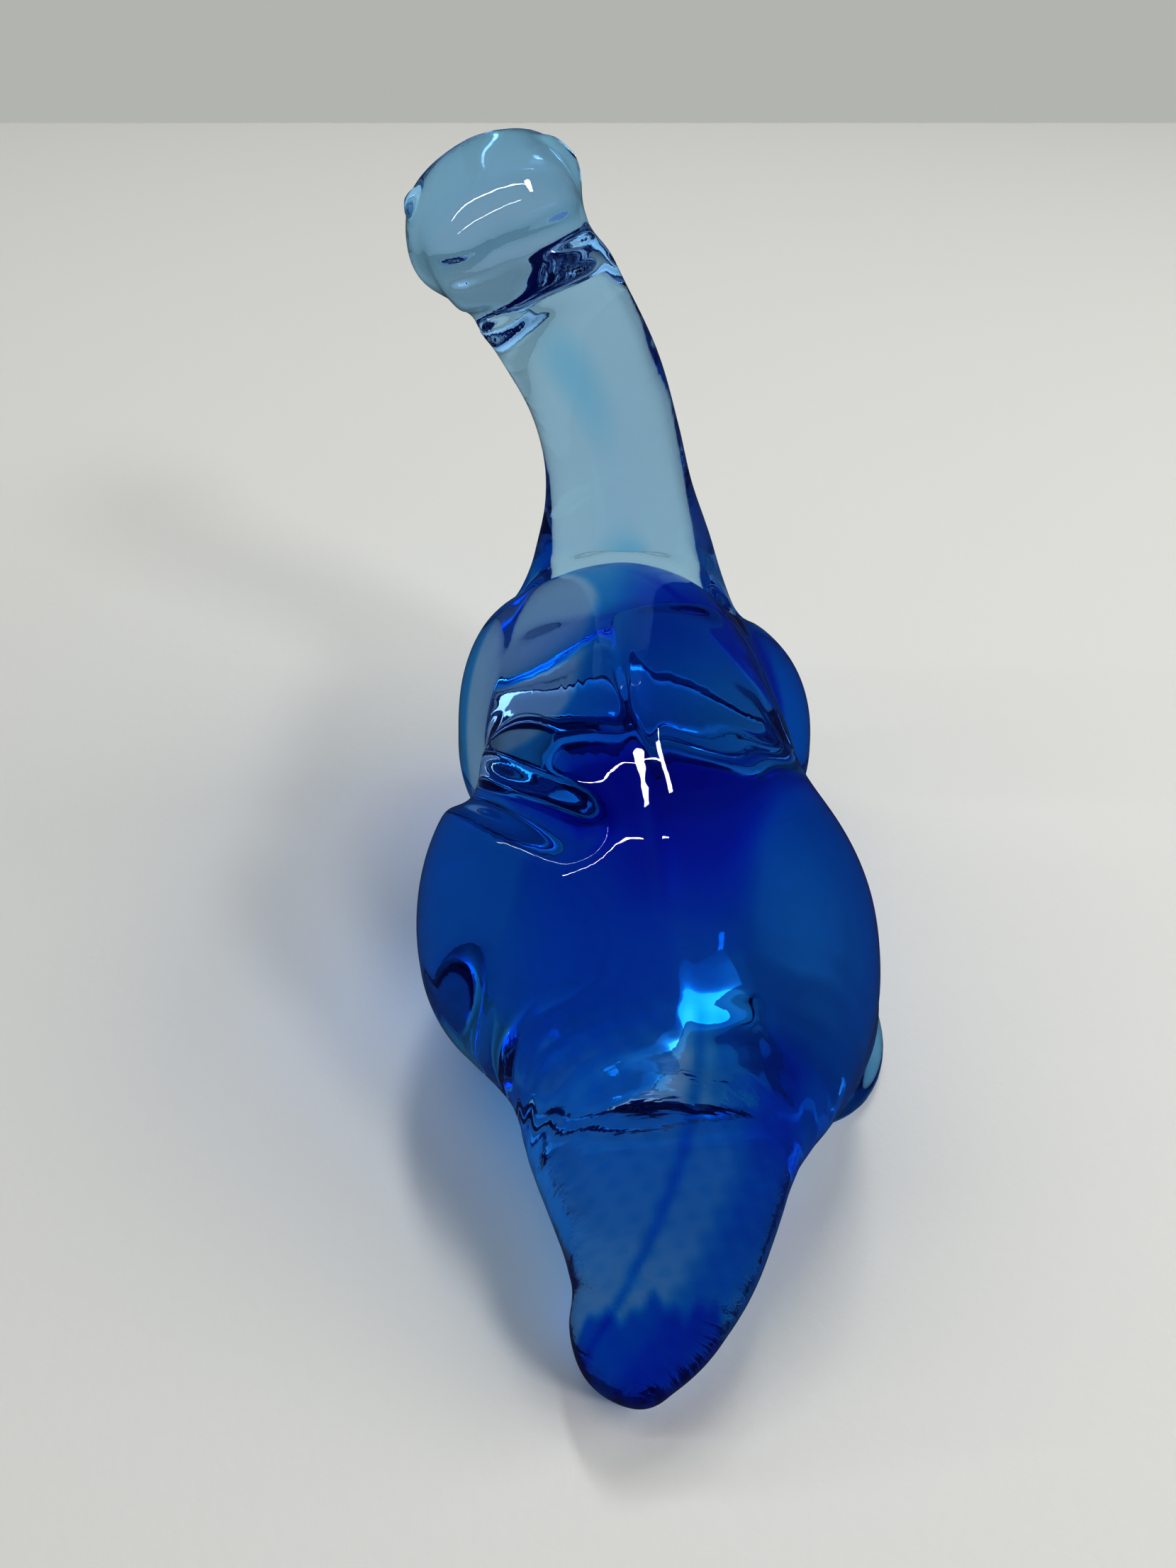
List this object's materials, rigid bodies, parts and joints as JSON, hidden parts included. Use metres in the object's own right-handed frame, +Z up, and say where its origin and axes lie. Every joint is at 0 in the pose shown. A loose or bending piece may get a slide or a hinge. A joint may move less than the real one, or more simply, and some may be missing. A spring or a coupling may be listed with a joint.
{
  "type": "glass dinosaur figurine",
  "caption": "Solid blue glass long-necked dinosaur, standing on its feet with its neck up, its head turned a little to its left and its thick tail reaching down behind.",
  "frame": {"origin": "The middle of the figure's box, on the plane that the soles stand on.", "axes": "+Z is up. The head looks along -Y and the tail reaches along +Y. +X is the animal's own left."},
  "size_m": [0.0746, 0.1496, 0.1156],
  "materials": {
    "deep_blue_glass": "polished, with faint chill marks",
    "pale_blue_glass": "polished"
  },
  "bodies": {
    "root": {"torso": "deep_blue_glass", "left_hind_leg": "deep_blue_glass", "right_hind_leg": "deep_blue_glass", "left_foreleg": "deep_blue_glass", "right_foreleg": "deep_blue_glass", "tail": "deep_blue_glass", "neck": "pale_blue_glass", "head": "pale_blue_glass", "left_eye": "pale_blue_glass", "right_eye": "pale_blue_glass"}
  },
  "joints": []
}
